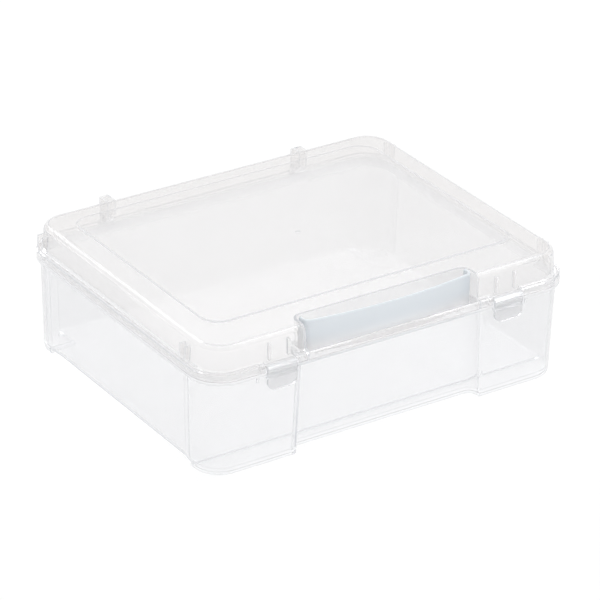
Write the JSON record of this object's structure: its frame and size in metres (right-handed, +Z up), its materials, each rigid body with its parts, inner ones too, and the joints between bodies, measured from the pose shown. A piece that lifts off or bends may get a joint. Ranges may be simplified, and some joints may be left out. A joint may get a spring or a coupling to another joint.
{
  "type": "document case",
  "caption": "Clear moulded case for papers: a deep tray with a hinged raised lid, a snap latch at each side of the front and a bowed carrying handle in a notch between them.",
  "frame": {"origin": "middle of the closed case's footprint, in the plane of its feet", "axes": "+X along the case's width, from its left to its right as seen from the front; -Y towards the latches and the handle; +Z up, from the feet to the lid"},
  "size_m": [0.34, 0.285, 0.1116],
  "materials": {
    "clear_tray": "clear polypropylene, glossy, slightly milky",
    "clear_lid": "clear polypropylene, glossy, slightly milky",
    "frosted_handle": "frosted polypropylene, satin",
    "clear_latch": "clear polypropylene, glossy"
  },
  "bodies": {
    "base": {"base_tray": "clear_tray", "handle": "frosted_handle"},
    "lid": {"lid": "clear_lid"},
    "latch_left": {"latch_left": "clear_latch"},
    "latch_right": {"latch_right": "clear_latch"}
  },
  "joints": [
    {"name": "lid_hinge", "type": "hinge", "parent": "base", "child": "lid", "pos_m": [0, 0.1411, 0.0846], "axis": [-1, 0, 0], "range_deg": [0, 110]},
    {"name": "latch_left_pivot", "type": "hinge", "parent": "lid", "child": "latch_left", "pos_m": [-0.105, -0.135, 0.0864], "axis": [-1, 0, 0], "range_deg": [0, 70]},
    {"name": "latch_right_pivot", "type": "hinge", "parent": "lid", "child": "latch_right", "pos_m": [0.105, -0.135, 0.0864], "axis": [-1, 0, 0], "range_deg": [0, 70]}
  ]
}
